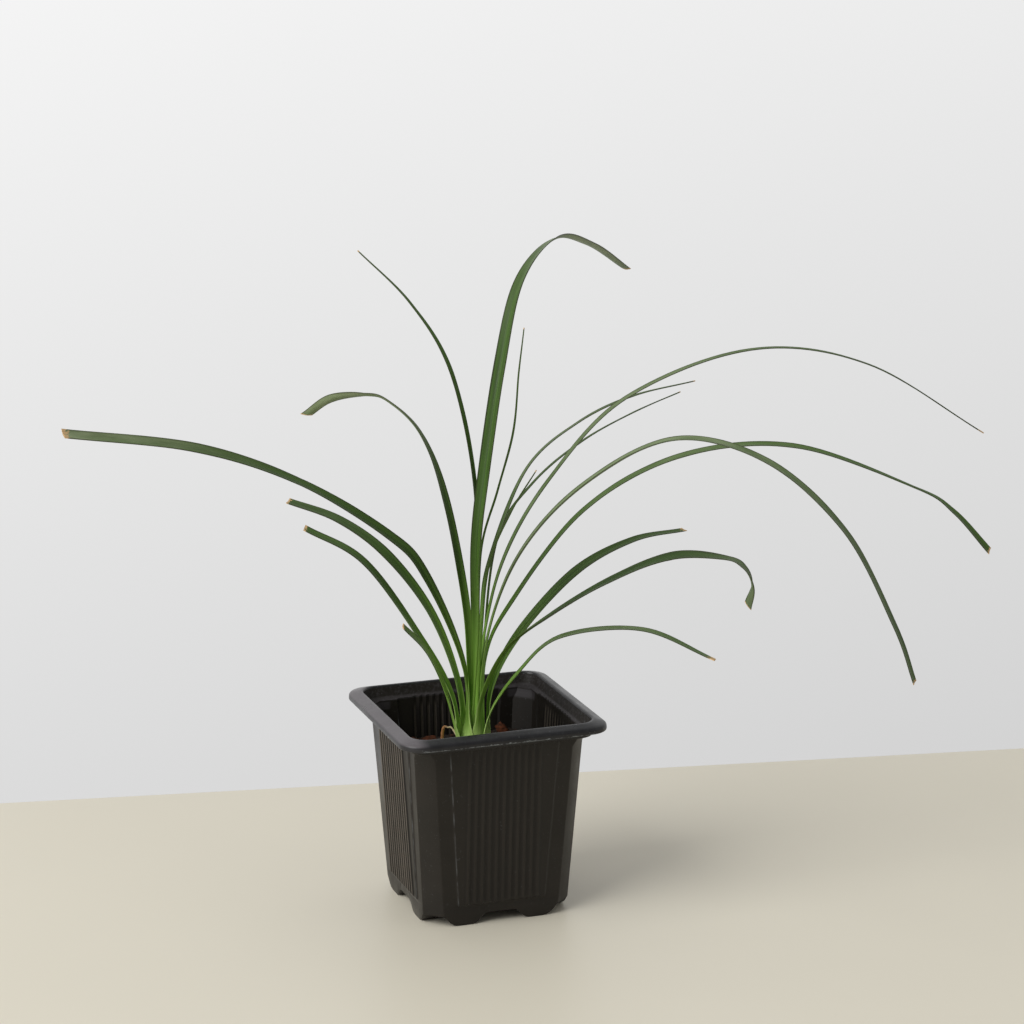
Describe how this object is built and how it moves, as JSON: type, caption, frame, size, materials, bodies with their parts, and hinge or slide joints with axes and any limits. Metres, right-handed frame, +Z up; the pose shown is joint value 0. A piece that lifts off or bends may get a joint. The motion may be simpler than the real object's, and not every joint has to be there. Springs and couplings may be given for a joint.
{
  "type": "potted ponytail palm",
  "caption": "Young ponytail palm with long arching strap leaves, planted in potting mix in a ribbed square plastic nursery pot on low feet.",
  "frame": {"origin": "on the table under the pot's feet, at the middle of the whole plant's outline seen from above, leaves included", "axes": "+Z up; +X to the right along the pot's front face, the way the longest leaves reach; +Y away from the front face"},
  "size_m": [0.4406, 0.2908, 0.3052],
  "materials": {
    "pot_plastic": "satin",
    "potting_mix": "matte",
    "stem_green": "satin",
    "leaf_green": "satin",
    "dry_leaf": "matte"
  },
  "bodies": {
    "root": {"pot": "pot_plastic", "potting_mix": "potting_mix", "stem_base": "stem_green", "leaf_left_long": "leaf_green", "leaf_left_middle": "leaf_green", "leaf_left_low": "leaf_green", "leaf_left_short": "leaf_green", "leaf_left_arching": "leaf_green", "leaf_left_needle": "leaf_green", "leaf_centre_wide": "leaf_green", "leaf_centre_needle": "leaf_green", "leaf_right_upper": "leaf_green", "leaf_right_thread": "leaf_green", "leaf_right_young": "leaf_green", "leaf_right_long": "leaf_green", "leaf_right_drooping": "leaf_green", "leaf_right_far": "leaf_green", "leaf_right_middle": "leaf_green", "leaf_right_curled": "leaf_green", "leaf_right_low": "leaf_green", "dry_leaf": "dry_leaf"}
  },
  "joints": []
}
